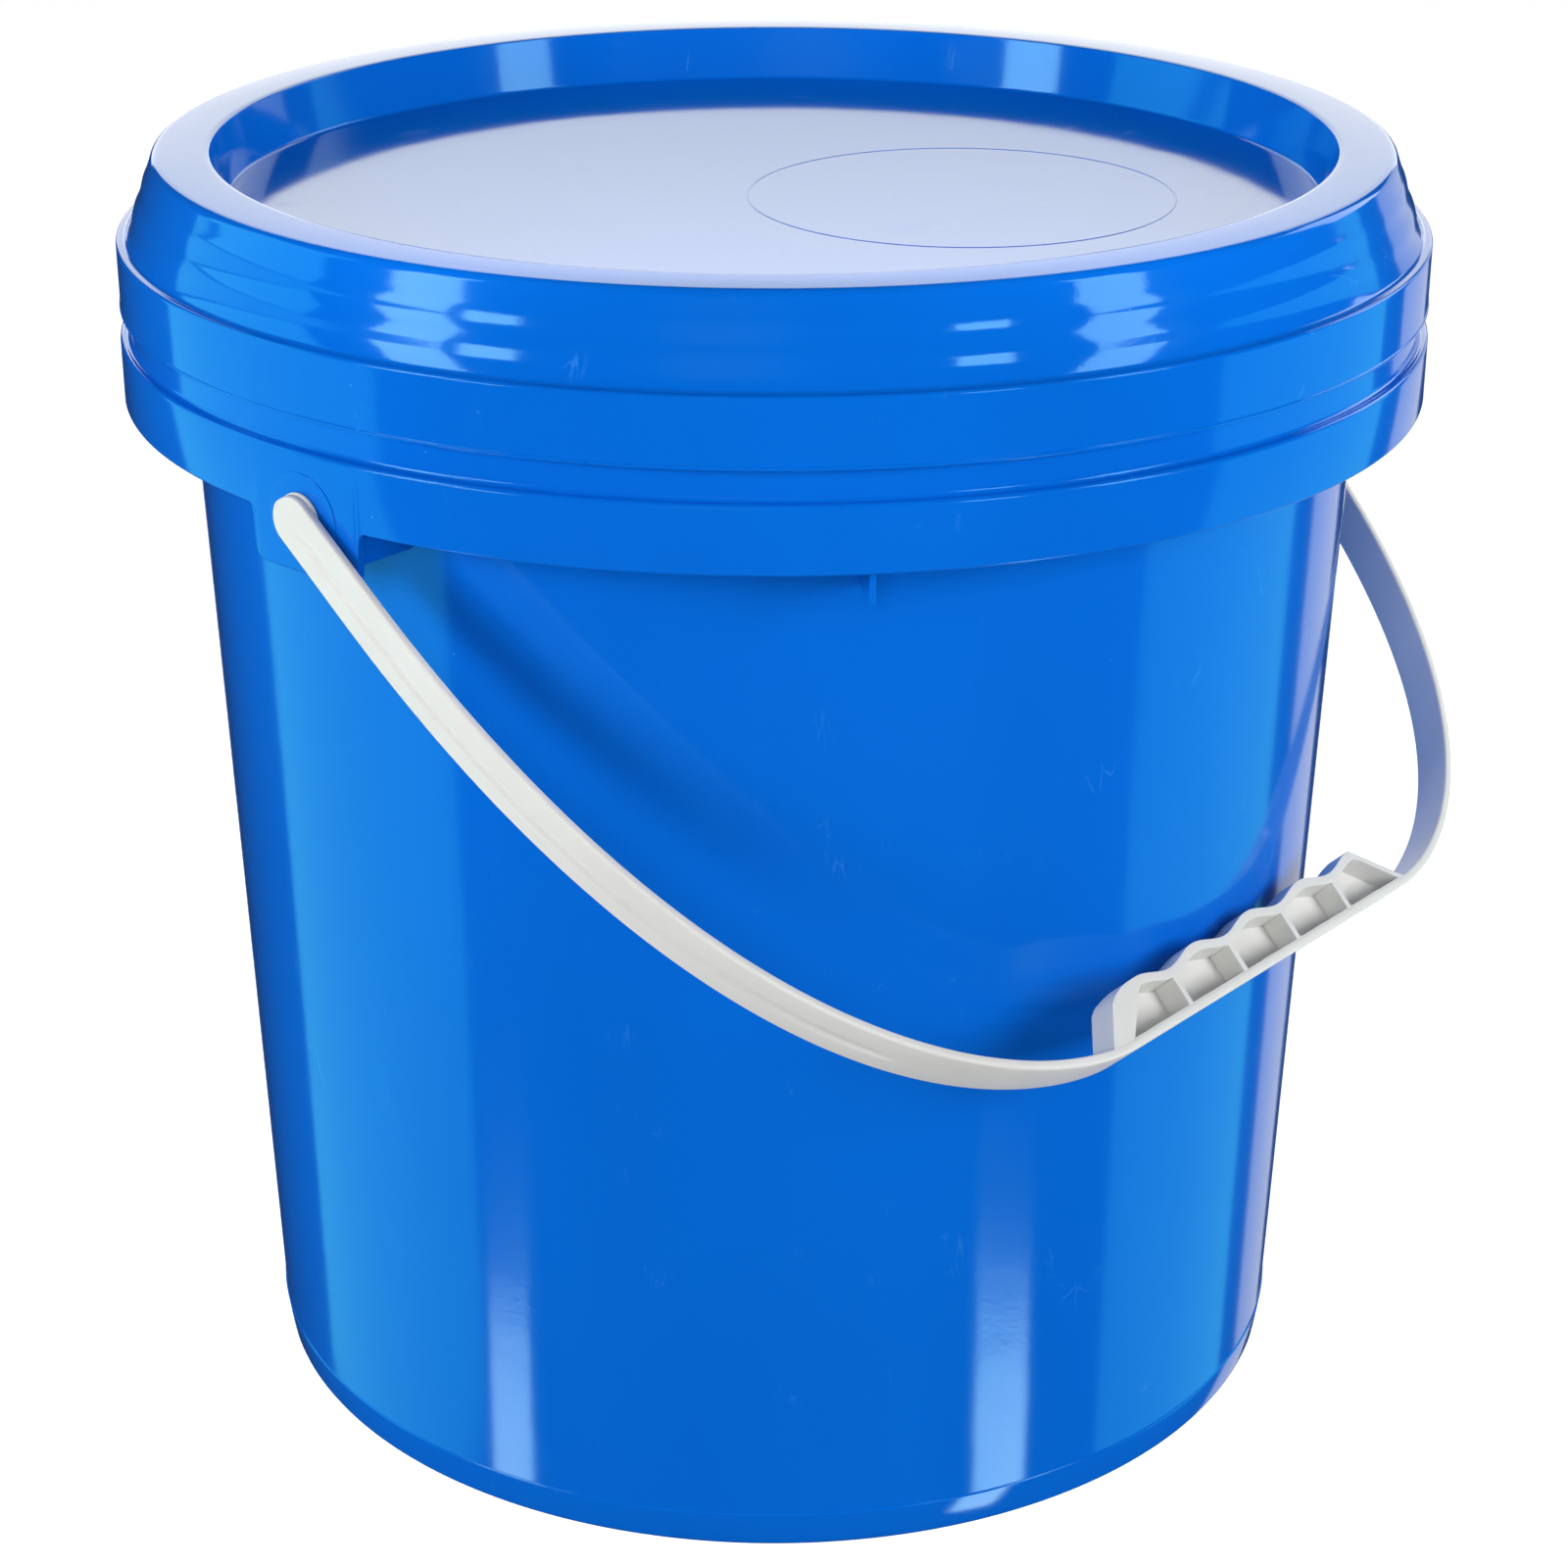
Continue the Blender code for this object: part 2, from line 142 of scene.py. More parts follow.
POCKET_ROOF = 0.0024
POCKET_DEPTH = 0.0069
GAP = 0.0003

# Fineness of the turned and swept pieces.
TURN_STEPS = 288
RING_STEPS = 192
PAD_STEPS = 96
ROUND_STEPS = 48
FILLET_STEPS = 5
BAIL_STEPS = 110
SHARP_DEGREES = 40

# The view.
VIEW_AZIMUTH = math.radians(-50.0)
VIEW_PITCH = math.radians(22.8)
VIEW_DISTANCE = 0.8860
VIEW_HEIGHT = 0.5250
VIEW_LENS = 80.0
VIEW_SENSOR = 36.0
VIEW_SHIFT = 0.00625

# The colours of the mouldings, each between two shades.
BLUE = ((0.0008, 0.128, 0.63), (0.0012, 0.142, 0.68))
WHITE = ((0.71, 0.71, 0.68), (0.76, 0.76, 0.735))
FOAM = ((0.10, 0.10, 0.105), (0.20, 0.20, 0.21))

# The studio.
WORLD_FILL = 0.80
WORLD_ZENITH = 0.12
WORLD_GLOSS = 0.02
FLOOR_GLOW = 0.85
FLOOR_RADIUS = 8.0
FLOOR_DROP = 0.0002
AZURE = (0.17, 1.0, 1.0)


# Camera

def make_camera():
    data = bpy.data.cameras.new("camera")
    data.lens = VIEW_LENS
    data.sensor_width = VIEW_SENSOR
    data.shift_x = VIEW_SHIFT
    data.clip_start = 0.05
    data.clip_end = 50.0
    camera = bpy.data.objects.new("camera", data)
    sine, cosine = math.sin(VIEW_AZIMUTH), math.cos(VIEW_AZIMUTH)
    camera.location = (VIEW_DISTANCE * sine, -VIEW_DISTANCE * cosine, VIEW_HEIGHT)
    camera.rotation_euler = (math.pi / 2 - VIEW_PITCH, 0.0, VIEW_AZIMUTH)
    bpy.context.scene.collection.objects.link(camera)
    bpy.context.scene.camera = camera


# Mesh helpers

def link_mesh(name, bm, material):
    bmesh.ops.remove_doubles(bm, verts=bm.verts, dist=1e-6)
    bmesh.ops.recalc_face_normals(bm, faces=bm.faces)
    mesh = bpy.data.meshes.new(name)
    bm.to_mesh(mesh)
    bm.free()
    mesh.materials.append(material)
    mesh.shade_smooth()
    mesh.set_sharp_from_angle(angle=math.radians(SHARP_DEGREES))
    item = bpy.data.objects.new(name, mesh)
    bpy.context.scene.collection.objects.link(item)
    return item


def rounded(corners, closed=True, steps=FILLET_STEPS):
    """An outline with its corners rounded. A corner is (u, v) or (u, v, radius)."""
    points = []
    count = len(corners)
    for index, corner in enumerate(corners):
        here = Vector(corner[:2])
        radius = corner[2] if len(corner) > 2 else 0.0
        if radius <= 0 or (not closed and index in (0, count - 1)):
            points.append(tuple(here))
            continue
        before = Vector(corners[index - 1][:2]) - here
        after = Vector(corners[(index + 1) % count][:2]) - here
        half = before.angle(after) / 2
        reach = min(radius / math.tan(half), before.length * 0.49, after.length * 0.49)
        if reach < 1e-7:
            points += [tuple(here)] * (steps + 1)
            continue
        radius = reach * math.tan(half)
        middle = (before.normalized() + after.normalized()).normalized()
        centre = here + middle * (radius / math.sin(half))
        start = here + before.normalized() * reach - centre
        end = here + after.normalized() * reach - centre
        turn = start.angle_signed(end)
        for k in range(steps + 1):
            share = turn * k / steps
            cosine, sine = math.cos(share), math.sin(share)
            spoke = Vector((start.x * cosine + start.y * sine, start.y * cosine - start.x * sine))
            points.append(tuple(centre + spoke))
    return points


def even_angles(steps=TURN_STEPS):
    return [2 * math.pi * k / steps for k in range(steps)]


def lathe(profile_at, angles):
    """Turns a closed (radius, z) outline about Z. The outline may change with the angle."""
    bm = bmesh.new()
    rings = []
    for angle in angles:
        outline = profile_at(angle)
        rings.append([bm.verts.new((r * math.cos(angle), r * math.sin(angle), z)) for r, z in outline])
    for index, ring in enumerate(rings):
        following = rings[(index + 1) % len(rings)]
        count = len(ring)
        for k in range(count):
            corners = [ring[k], ring[(k + 1) % count], following[(k + 1) % count], following[k]]
            if any(corner.co.xy.length > 1e-7 for corner in corners):
                bm.faces.new(corners)
    return bm


def skin(rings, closed=False):
    """Joins rings of the same number of points into one surface, closed or with a cap at each end."""
    bm = bmesh.new()
    made = [[bm.verts.new(point) for point in ring] for ring in rings]
    pairs = list(zip(made, made[1:]))
    if closed:
        pairs.append((made[-1], made[0]))
    for first, second in pairs:
        count = len(first)
        for k in range(count):
            following = (k + 1) % count
            bm.faces.new([first[k], first[following], second[following], second[k]])
    if not closed:
        bm.faces.new(made[0])
        bm.faces.new(made[-1])
    return bm


def prism(outline, place, low, high):
    """Extrudes an outline. place turns (u, v, w) into a point, and w runs from low to high."""
    rings = [[place(u, v, w) for u, v in outline] for w in (low, high)]
    return skin(rings)


def bevel(item, width, angle=35):
    modifier = item.modifiers.new("rounded edges", "BEVEL")
    modifier.width = width
    modifier.segments = 3
    modifier.limit_method = "ANGLE"
    modifier.angle_limit = math.radians(angle)


def cut(item, tool):
    """Cuts tool out of item now, and removes the tool."""
    modifier = item.modifiers.new("cut", "BOOLEAN")
    modifier.operation = "DIFFERENCE"
    modifier.solver = "EXACT"
    modifier.object = tool
    apply_modifiers(item)
    bpy.data.objects.remove(tool, do_unlink=True)


def apply_modifiers(item):
    graph = bpy.context.evaluated_depsgraph_get()
    mesh = bpy.data.meshes.new_from_object(item.evaluated_get(graph))
    old = item.data
    item.modifiers.clear()
    item.data = mesh
    mesh.name = item.name
    bpy.data.meshes.remove(old)


# Materials

class Nodes:
    """A short way to build a node tree."""

    def __init__(self, name):
        self.material = bpy.data.materials.new(name)
        self.material.use_nodes = True
        self.tree = self.material.node_tree
        self.shader = self.tree.nodes["Principled BSDF"]
        self.place = self.add("ShaderNodeTexCoord").outputs["Object"]

    def add(self, kind, **settings):
        node = self.tree.nodes.new(kind)
        for key, value in settings.items():
            setattr(node, key, value)
        return node

    def link(self, source, target):
        self.tree.links.new(source, target)

    def noise(self, scale, detail=2.0, roughness=0.5, stretch=None):
        node = self.add("ShaderNodeTexNoise")
        node.inputs["Scale"].default_value = scale
        node.inputs["Detail"].default_value = detail
        node.inputs["Roughness"].default_value = roughness
        place = self.place
        if stretch:
            mapping = self.add("ShaderNodeMapping")
            mapping.inputs["Scale"].default_value = stretch[0]
            mapping.inputs["Rotation"].default_value = stretch[1]
            self.link(place, mapping.inputs["Vector"])
            place = mapping.outputs["Vector"]
        self.link(place, node.inputs["Vector"])
        return node.outputs["Fac"]

    def cells(self, scale):
        node = self.add("ShaderNodeTexVoronoi")
        node.inputs["Scale"].default_value = scale
        self.link(self.place, node.inputs["Vector"])
        return node.outputs

    def spread(self, source, low, high, to_low, to_high):
        node = self.add("ShaderNodeMapRange")
        node.inputs["From Min"].default_value = low
        node.inputs["From Max"].default_value = high
        node.inputs["To Min"].default_value = to_low
        node.inputs["To Max"].default_value = to_high
        self.link(source, node.inputs["Value"])
        return node.outputs["Result"]

    def math(self, operation, first, second=None):
        node = self.add("ShaderNodeMath", operation=operation)
        for index, value in enumerate((first, second)):
            if value is None:
                continue
            if isinstance(value, (int, float)):
                node.inputs[index].default_value = value
            else:
                self.link(value, node.inputs[index])
        return node.outputs[0]

    def blend(self, share, first, second):
        node = self.add("ShaderNodeMix", data_type="RGBA")
        colours = [socket for socket in node.inputs if socket.type == "RGBA"]
        shares = [socket for socket in node.inputs if socket.type == "VALUE"]
        self.link(share, shares[0])
        for socket, value in zip(colours, (first, second)):
            if isinstance(value, tuple):
                socket.default_value = (*value, 1.0)
            else:
                self.link(value, socket)
        return [socket for socket in node.outputs if socket.type == "RGBA"][0]

    def bump(self, height, distance, strength=1.0, after=None):
        node = self.add("ShaderNodeBump")
        node.inputs["Distance"].default_value = distance
        node.inputs["Strength"].default_value = strength
        self.link(height, node.inputs["Height"])
        if after is not None:
            self.link(after, node.inputs["Normal"])
        return node.outputs["Normal"]


def specks(nodes, scale, size, share):
    """Sparse round specks: 1 on a speck and 0 elsewhere."""
    cells = nodes.cells(scale)
    near = nodes.spread(cells["Distance"], size, size * 0.5, 0.0, 1.0)
    channels = nodes.add("ShaderNodeSeparateColor")
    nodes.link(cells["Color"], channels.inputs["Color"])
    chosen = nodes.math("LESS_THAN", channels.outputs[0], share)
    return nodes.math("MULTIPLY", near, chosen)


def scratches(nodes, scale, along, turn, thin):
    """Short fine scratches, from a stretched noise cut to its ridge and broken up by another."""
    stretch = ((scale * along, scale, scale * along), turn)
    lines = nodes.noise(1.0, detail=1.0, stretch=stretch)
    ridge = nodes.math("ABSOLUTE", nodes.math("SUBTRACT", lines, 0.5))
    thin_line = nodes.spread(ridge, thin, 0.0, 0.0, 1.0)
    patches = nodes.spread(nodes.noise(70.0, detail=3.0), 0.64, 0.70, 0.0, 1.0)
    return nodes.math("MULTIPLY", thin_line, patches)


def blue_plastic(name, roughness, wear):
    """Glossy moulded polypropylene with flow marks, dust specks and fine handling scratches."""
    nodes = Nodes(name)
    flow = nodes.noise(14.0, detail=4.0, stretch=((1.0, 1.0, 0.35), (0.0, 0.0, 0.0)))
    base = nodes.blend(nodes.spread(flow, 0.3, 0.7, 0.0, 1.0), *BLUE)
    marks = nodes.math("MAXIMUM", scratches(nodes, 430.0, 0.10, (0.3, 0.5, 0.2), 0.010),
                       scratches(nodes, 360.0, 0.09, (1.2, -0.4, 0.9), 0.008))
    dust = specks(nodes, 210.0, 0.055, 0.035)
    seen = nodes.math("MAXIMUM", nodes.math("MULTIPLY", marks, wear), dust)
    pale = (0.10, 0.42, 0.95)
    colour_out = nodes.blend(nodes.math("MULTIPLY", seen, 0.6), base, pale)
    nodes.link(colour_out, nodes.shader.inputs["Base Color"])
    smear = nodes.noise(9.0, detail=5.0, roughness=0.6)
    polish = nodes.spread(smear, 0.35, 0.70, roughness, roughness + 0.03)
    nodes.link(nodes.math("ADD", polish, nodes.math("MULTIPLY", seen, 0.3)),
               nodes.shader.inputs["Roughness"])
    ripple = nodes.bump(nodes.noise(24.0, detail=2.0), 0.00025, 0.35)
    skin_grain = nodes.bump(nodes.noise(900.0, detail=2.0), 0.00002, 0.35, after=ripple)
    scored = nodes.bump(seen, 0.00004, 0.5, after=skin_grain)
    nodes.link(scored, nodes.shader.inputs["Normal"])
    nodes.shader.inputs["IOR"].default_value = 1.49
    nodes.shader.inputs["Specular Tint"].default_value = (0.35, 0.88, 1.0, 1.0)
    return nodes.material


def white_plastic(name):
    """Satin natural polyethylene, slightly see-through, with moulding flow and a few scuffs."""
    nodes = Nodes(name)
    flow = nodes.noise(30.0, detail=4.0)
    base = nodes.blend(nodes.spread(flow, 0.3, 0.7, 0.0, 1.0), *WHITE)
    scuff = scratches(nodes, 260.0, 0.12, (0.6, 0.2, 0.9), 0.012)
    dirt = specks(nodes, 330.0, 0.06, 0.03)
    worn = nodes.math("MAXIMUM", nodes.math("MULTIPLY", scuff, 0.6), dirt)
    colour = nodes.blend(nodes.math("MULTIPLY", worn, 0.35), base, (0.62, 0.61, 0.57))
    nodes.link(colour, nodes.shader.inputs["Base Color"])
    polish = nodes.spread(nodes.noise(45.0, detail=4.0), 0.3, 0.7, 0.34, 0.46)
    nodes.link(polish, nodes.shader.inputs["Roughness"])
    wave = nodes.bump(nodes.noise(160.0, detail=2.0), 0.00006, 0.4)
    grain = nodes.bump(nodes.noise(1500.0, detail=2.0), 0.00002, 0.4, after=wave)
    nodes.link(nodes.bump(worn, 0.00005, 0.5, after=grain), nodes.shader.inputs["Normal"])
    nodes.shader.inputs["IOR"].default_value = 1.51
    nodes.shader.inputs["Subsurface Weight"].default_value = 0.25
    nodes.shader.inputs["Subsurface Radius"].default_value = (0.004, 0.004, 0.0038)
    nodes.shader.inputs["Subsurface Scale"].default_value = 1.0
    return nodes.material


def foam_rubber(name):
    """Matt closed-cell foam with small open pores on its cut faces."""
    nodes = Nodes(name)
    cells = nodes.cells(1400.0)
    pores = nodes.spread(cells["Distance"], 0.1, 0.6, 0.0, 1.0)
    base = nodes.blend(pores, *FOAM)
    nodes.link(base, nodes.shader.inputs["Base Color"])
    nodes.link(nodes.spread(pores, 0.0, 1.0, 0.95, 0.75), nodes.shader.inputs["Roughness"])
    nodes.link(nodes.bump(pores, 0.00015, 0.6), nodes.shader.inputs["Normal"])
    return nodes.material


# Bucket

def wall_radius(z):
    return BASE_RADIUS + WALL_SLOPE * z


def ear_outline():
    """The collar's lower edge around one pivot as (distance along the collar, drop)."""
    half = [
        (EAR_REACH, 0.0),
        (EAR_TOP_HALF, 0.0, 0.0016),
        (EAR_BOTTOM_HALF, EAR_DROP, EAR_CORNER),
        (0.0, EAR_DROP),
    ]
    return rounded(half, closed=False, steps=7)


EAR_EDGE = ear_outline()


def ear_drop(angle):
    distance = abs(math.remainder(angle, math.pi)) * COLLAR_RADIUS
    for (far, far_drop), (near, near_drop) in zip(EAR_EDGE, EAR_EDGE[1:]):
        if near <= distance <= far:
            share = (far - distance) / (far - near) if far > near else 1.0
            return far_drop + (near_drop - far_drop) * share
    return 0.0


def bucket_angles():
    """Even steps, with the corners of both ears among them."""
    angles = set(even_angles())
    steps = [distance for distance, _drop in EAR_EDGE[1:]]
    side_low, side_high = EAR_BOTTOM_HALF + 0.0001, EAR_TOP_HALF - 0.0001
    steps += [side_low + (side_high - side_low) * k / 4 for k in range(5)]
    for side in (0.0, math.pi):
        for distance in steps:
            for sign in (-1, 1):
                angles.add((side + sign * distance / COLLAR_RADIUS) % (2 * math.pi))
    kept = []
    for angle in sorted(angles):
        if not kept or angle - kept[-1] > 1e-5:
            kept.append(angle)
    return kept


def bucket_profile(angle):
    skirt_bottom = COLLAR_Z - ear_drop(angle)
    collar_inner = COLLAR_RADIUS - WALL
    neck_inner = NECK_RADIUS - WALL
    under_top = NECK_TOP_Z - WALL
    floor_top = FOOT_HEIGHT + FLOOR
    return rounded([
        (FOOT_RADIUS - FOOT_WIDTH, 0.0, 0.0006),
        (BASE_RADIUS - 0.0006, 0.0, 0.0022),
        (wall_radius(FOOT_BAND_Z) + FOOT_BAND_STEP, FOOT_BAND_Z, 0.0003),
        (wall_radius(FOOT_BAND_Z), FOOT_BAND_Z + FOOT_BAND_STEP, 0.0003),
        (wall_radius(under_top), under_top, 0.0010),
        (neck_inner, under_top, 0.0006),
        (neck_inner, COLLAR_TOP_Z - WALL, 0.0006),
        (collar_inner, COLLAR_TOP_Z - WALL, 0.0006),
        (collar_inner, skirt_bottom, 0.0004),
        (COLLAR_RADIUS, skirt_bottom, 0.0007),
        (COLLAR_RADIUS, COLLAR_TOP_Z, 0.0011),
        (NECK_RADIUS, COLLAR_TOP_Z - 0.0001, 0.0012),
        (NECK_RADIUS, NECK_TOP_Z, 0.0010),
        (wall_radius(NECK_TOP_Z), NECK_TOP_Z, 0.0008),
        (wall_radius(RIM_Z) - 0.0003, RIM_Z, 0.0010),
        (wall_radius(RIM_Z) - WALL, RIM_Z, 0.0008),
        (wall_radius(floor_top) - WALL, floor_top, 0.0060),
        (0.0, floor_top),
        (0.0, FOOT_HEIGHT),
        (FOOT_RADIUS - FOOT_WIDTH, FOOT_HEIGHT, 0.0008),
    ])


def bar_along_x(name, radius, start, end, material):
    """A round bar on the pivot axis between two x values."""
    rings = []
    for x in (start, end):
        turns = even_angles(ROUND_STEPS)
        rings.append([(x, radius * math.cos(t), PIVOT_Z + radius * math.sin(t)) for t in turns])
    return link_mesh(name, skin(rings), material)


def make_bucket_shell(material):
    shell = link_mesh("bucket_shell", lathe(bucket_profile, bucket_angles()), material)
    for index, side in enumerate((1, -1)):
        inner = side * (COLLAR_RADIUS - 3 * WALL)
        outer = side * (COLLAR_RADIUS + WALL)
        cut(shell, bar_along_x(f"hole_{index}", HOLE_RADIUS, inner, outer, material))
    shell.data.shade_smooth()
    shell.data.set_sharp_from_angle(angle=math.radians(SHARP_DEGREES))
    return shell


def radial_plate(name, angle, offset, width, bottom_z, outer_radius, material):
    """A moulded plate in a plane through the axis, let into the wall and the flange."""
    top = NECK_TOP_Z - PLATE_SINK
    shelf = COLLAR_TOP_Z - WALL + PLATE_SINK
    neck_inner = NECK_RADIUS - WALL + PLATE_SINK
    outline = [
        (wall_radius(bottom_z) - PLATE_SINK, bottom_z),
        (outer_radius, bottom_z),
        (outer_radius, shelf),
        (neck_inner, shelf),
        (neck_inner, top),
        (wall_radius(top) - PLATE_SINK, top),
    ]
    outward = Vector((math.cos(angle), math.sin(angle), 0.0))
    sideways = Vector((-math.sin(angle), math.cos(angle), 0.0))

    def place(u, v, w):
        return outward * u + sideways * (w + offset) + Vector((0.0, 0.0, v))

    plate = link_mesh(name, prism(outline, place, -width / 2, width / 2), material)
    bevel(plate, PLATE_EDGE)
    return plate


def make_ribs(material):
    made = []
    for index, degrees in enumerate(RIB_DEGREES):
        name = f"flange_rib_{index + 1}"
        bottom = COLLAR_Z - RIB_DROP
        made.append(radial_plate(name, math.radians(degrees), 0.0, RIB_WIDTH, bottom,
                                 RIB_RADIUS, material))
    return made


def make_ear_plates(material):
    made = []
    offset = EAR_BOTTOM_HALF - EAR_PLATE / 2 - 0.0001
    for side_name, side in (("right", 0.0), ("left", math.pi)):
        for end_name, sign in (("a", -1), ("b", 1)):
            name = f"ear_plate_{side_name}_{end_name}"
            bottom = COLLAR_Z - RIB_DROP
            made.append(radial_plate(name, side, sign * offset, EAR_PLATE, bottom,
                                     COLLAR_RADIUS - WALL + 0.0003, material))
    return made


def make_ear_pads(material):
    """The faint raised disc around each pivot hole, bent to the collar's curve."""
    made = []
    for side_name, side in (("right", 1), ("left", -1)):
        profile = rounded([
            (HOLE_RADIUS, -PAD_SINK),
            (HOLE_RADIUS, PAD_HEIGHT, 0.00015),
            (PAD_RADIUS, PAD_HEIGHT, 0.00020),
            (PAD_RADIUS, -PAD_SINK),
        ])
        rings = []
        for turn in even_angles(PAD_STEPS):
            ring = []
            for radius, height in profile:
                across, up = radius * math.cos(turn), radius * math.sin(turn)
                up = min(up, COLLAR_TOP_Z - 0.0012 - PIVOT_Z)
                around = across / COLLAR_RADIUS
                out = COLLAR_RADIUS + height
                ring.append((side * out * math.cos(around), out * math.sin(around), PIVOT_Z + up))
            rings.append(ring)
        made.append(link_mesh(f"ear_pad_{side_name}", skin(rings, closed=True), material))
    return made


# Lid and gasket

def lid_profile(_angle):
    """The lid's outline. The ring's slope has faint waves, and a thin flash edges the skirt."""
    skirt_inner = NECK_RADIUS + GAP
    roof = RING_TOP_Z - LID_WALL
    shelf_under = SHELF_Z - LID_WALL
    flash = SKIRT_Z + FLASH_HEIGHT
    outline = [
        (0.0, PANEL_Z),
        (PANEL_EDGE, PANEL_Z, 0.0010),
        (LIP_RADIUS, RING_TOP_Z - 0.0002, 0.0005),
        (LIP_RADIUS + 0.0012, RING_TOP_Z, 0.0008),
        (RING_TOP_RADIUS, RING_TOP_Z, 0.0026),
    ]
    run, fall = RING_FOOT_RADIUS - RING_TOP_RADIUS, RING_TOP_Z - SHELF_Z
    steps = 4 * RING_WAVES + 2
    for k in range(3, steps - 1):
        share = k / steps
        wave = RING_WAVE_DEPTH * math.cos(2 * math.pi * RING_WAVES * share)
        outline.append((RING_TOP_RADIUS + run * share + wave, RING_TOP_Z - fall * share))
    outline += [
        (RING_FOOT_RADIUS, SHELF_Z + 0.0005, 0.0010),
        (RING_FOOT_RADIUS + 0.0008, SHELF_Z + 0.0001, 0.0004),
        (SKIRT_RADIUS - 0.0002, SHELF_Z, 0.0009),
        (SKIRT_RADIUS - 0.00025, flash + 0.0002, 0.0002),
        (SKIRT_RADIUS, flash, 0.0002),
        (SKIRT_RADIUS, SKIRT_Z, 0.0003),
        (skirt_inner, SKIRT_Z, 0.0005),
        (skirt_inner, shelf_under, 0.0010),
        (RING_FOOT_RADIUS - LID_WALL, shelf_under + 0.0010, 0.0020),
        (RING_TOP_RADIUS - LID_WALL, roof, 0.0015),
        (LIP_RADIUS + LID_INNER_WALL, roof, 0.0010),
        (PANEL_EDGE + LID_INNER_WALL, PANEL_Z - LID_WALL, 0.0020),
        (0.0, PANEL_Z - LID_WALL),
    ]
    return rounded(outline)


def make_lid(material):
    return link_mesh("lid_shell", lathe(lid_profile, even_angles()), material)


def make_panel_mark(material):
    """The thin raised circle on the lid's panel."""
    profile = rounded([
        (-MARK_HALF_WIDTH, -MARK_SINK),
        (-MARK_HALF_WIDTH, MARK_HEIGHT, 0.00008),
        (MARK_HALF_WIDTH, MARK_HEIGHT, 0.00008),
        (MARK_HALF_WIDTH, -MARK_SINK),
    ])
    rings = []
    for turn in even_angles(RING_STEPS):
        ring = []
        for across, up in profile:
            radius = MARK_RADIUS + across
            ring.append((MARK_CENTRE[0] + radius * math.cos(turn),
                         MARK_CENTRE[1] + radius * math.sin(turn), PANEL_Z + up))
        rings.append(ring)
    return link_mesh("lid_panel_mark", skin(rings, closed=True), material)


def make_gasket(material):
    inner, outer = GASKET_INNER_RADIUS, GASKET_HIGH[0]
    low, high = GASKET_LOW[2], GASKET_HIGH[2]

    def profile(_angle):
        corners = ((inner, low), (outer, low), (outer, high), (inner, high))
        return rounded([(radius, z, 0.0005) for radius, z in corners])

    return link_mesh("lid_seal_ring", lathe(profile, even_angles(RING_STEPS)), material)


# Handle

def smoothstep(value):
    value = min(max(value, 0.0), 1.0)
    return value * value * (3 - 2 * value)


def bail_side():
    """Half of the strap's outer face as (x, reach), from a pivot to its flat middle, as if on +X."""
    start = Vector((HALF_SPAN, LEG_STRAIGHT))
    end = Vector((FLAT_HALF, REACH))
    pulls = (start, start + Vector((0.0, LEG_PULL)), end + Vector((CORNER_PULL, 0.0)), end)
    points = [Vector((HALF_SPAN, LEG_STRAIGHT * k / 14)) for k in range(14)]
    for k in range(BAIL_STEPS + 1):
        t = k / BAIL_STEPS
        shares = ((1 - t) ** 3, 3 * t * (1 - t) ** 2, 3 * t * t * (1 - t), t ** 3)
        points.append(sum((share * pull for share, pull in zip(shares, pulls)), Vector((0.0, 0.0))))
    return points


def to_side(point, side):
    """Moves a point of bail_side to its own side. The middle of the bail sits at MIDDLE_X."""
    across = (HALF_SPAN - point.x) / (HALF_SPAN - FLAT_HALF)
    return Vector((side * point.x + MIDDLE_X * across, point.y))


def twist_at(x):
    """The strap's section turns about its outer middle line towards the grip."""
    return TWIST * smoothstep(1 - (abs(x - MIDDLE_X) - TWIST_FULL) / TWIST_FADE)


def on_bail(x, reach, offset, depth=0.0):
    """A point of the handle at rest.

    reach is the distance from the pivot axis to the strap's outer face, offset is square to the
    plane of the bail, and depth goes from the outer face towards the pivot axis.
    """
    twist = twist_at(x)
    far = reach + offset * math.sin(twist) - depth * math.cos(twist)
    side = offset * math.cos(twist) + depth * math.sin(twist)
    y = -far * math.sin(SWING) - side * math.cos(SWING)
    z = PIVOT_Z - far * math.cos(SWING) + side * math.sin(SWING)
    return Vector((x, y, z))


def strap_section(half, groove):
    """The strap's section as (offset, depth): rounded edges and a shallow uneven groove."""
    share = half / (STRAP_WIDTH / 2)
    line = -0.0012 * share
    deep = GROOVE_DEPTH * groove
    return rounded([
        (half, 0.0, 0.0008),
        (line + 0.0022 * share, 0.0, 0.0008),
        (line + 0.0003 * share, deep, 0.0003),
        (line - 0.0006 * share, 0.0, 0.0003),
        (-half, 0.0, 0.0006),
        (-half, STRAP, 0.0005),
        (half, STRAP, 0.0006),
    ], steps=4)


def groove_share(point):
    """1 along the legs, fading out at the pivot and in front of the flat middle."""
    start = smoothstep((point.y - 0.002) / 0.008)
    end = smoothstep((abs(point.x) - 0.118) / 0.010)
    return start * end


